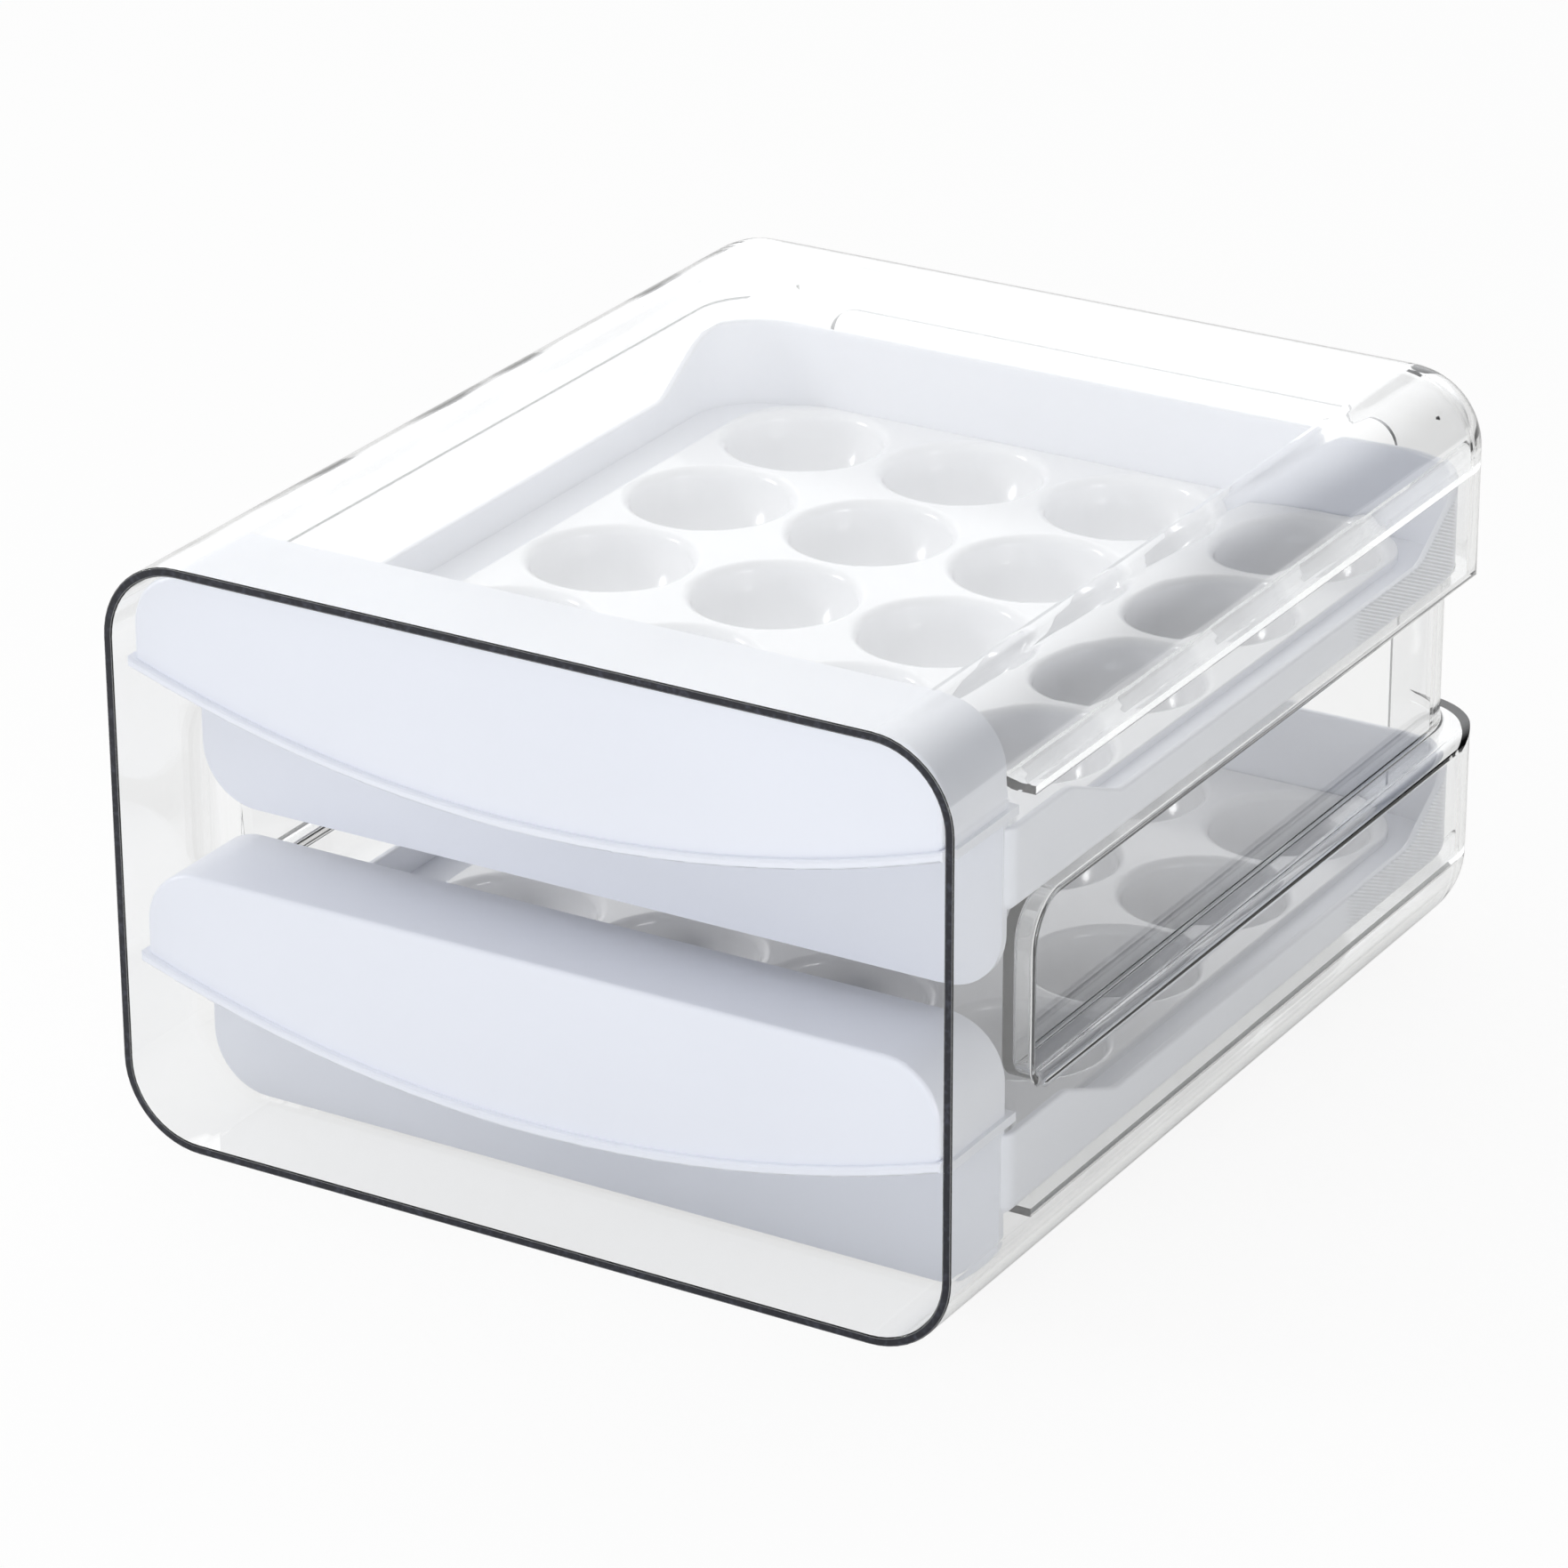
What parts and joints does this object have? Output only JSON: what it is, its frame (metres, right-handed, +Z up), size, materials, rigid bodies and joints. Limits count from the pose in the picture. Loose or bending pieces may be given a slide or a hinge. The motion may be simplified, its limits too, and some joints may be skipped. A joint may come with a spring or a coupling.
{
  "type": "egg storage drawer",
  "caption": "Clear open-fronted case with two pull-out drawers, one above the other, each holding a tray of round egg cups.",
  "frame": {"origin": "middle of the case's underside, on the surface that it stands on", "axes": "+Z up, +Y to the rear, +X to the right as seen from the front; the drawers open towards -Y"},
  "size_m": [0.215, 0.268, 0.143],
  "materials": {
    "clear_case": "polished clear moulding",
    "drawer_white": "smooth white moulding",
    "tray_white": "smooth white moulding"
  },
  "bodies": {
    "case": {"case_shell": "clear_case"},
    "upper_drawer_unit": {"upper_drawer": "drawer_white", "upper_egg_tray": "tray_white"},
    "lower_drawer_unit": {"lower_drawer": "drawer_white", "lower_egg_tray": "tray_white"}
  },
  "joints": [
    {"name": "upper_drawer_slide", "type": "slide", "parent": "case", "child": "upper_drawer_unit", "axis": [0, -1, 0], "range_m": [0, 0.19]},
    {"name": "lower_drawer_slide", "type": "slide", "parent": "case", "child": "lower_drawer_unit", "axis": [0, -1, 0], "range_m": [0, 0.19]}
  ]
}
